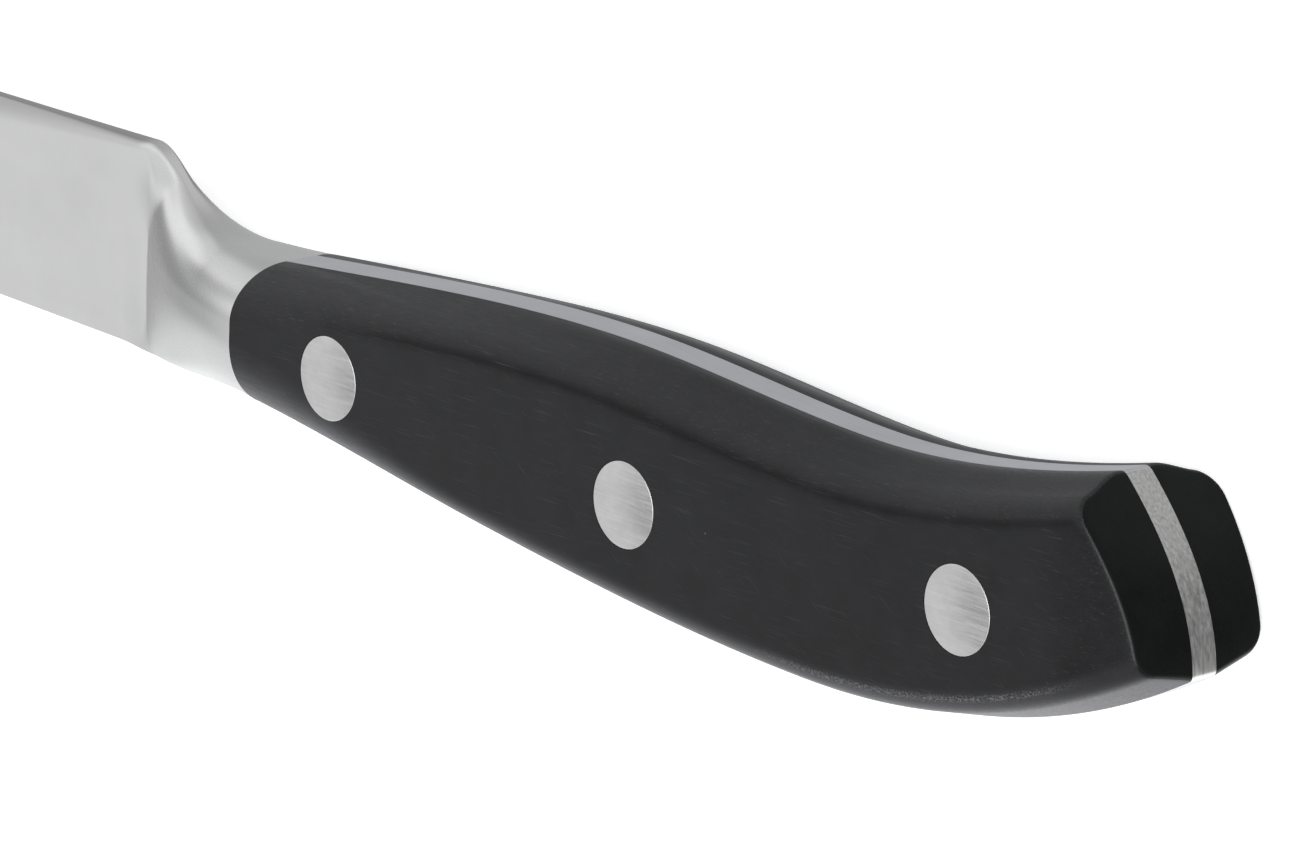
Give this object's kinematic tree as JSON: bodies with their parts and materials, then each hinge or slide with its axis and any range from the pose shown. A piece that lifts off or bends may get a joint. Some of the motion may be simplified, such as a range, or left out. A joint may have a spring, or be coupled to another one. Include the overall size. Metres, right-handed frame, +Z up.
{
  "type": "steak knife",
  "caption": "Forged full-tang steak knife with a plain edge, an integral bolster, black grip scales held by flush rivets and a curved handle with a raked butt, lying on its side.",
  "frame": {"origin": "on the table under the middle of the knife, which lies on its right side", "axes": "+X from the tip to the butt, +Y from the edge to the spine, +Z up, from the right side to the left side"},
  "size_m": [0.233, 0.022, 0.0137],
  "materials": {
    "ground_steel": "satin, fine-ground blade and bolster",
    "black_plastic": "black acetal, ground and polished to a low sheen",
    "rivet_steel": "ground flush with the scales"
  },
  "bodies": {
    "root": {"forged_blade": "ground_steel", "left_scale": "black_plastic", "right_scale": "black_plastic", "rivet_front_sleeve": "rivet_steel", "rivet_front_post": "rivet_steel", "rivet_middle_sleeve": "rivet_steel", "rivet_middle_post": "rivet_steel", "rivet_rear_sleeve": "rivet_steel", "rivet_rear_post": "rivet_steel"}
  },
  "joints": []
}
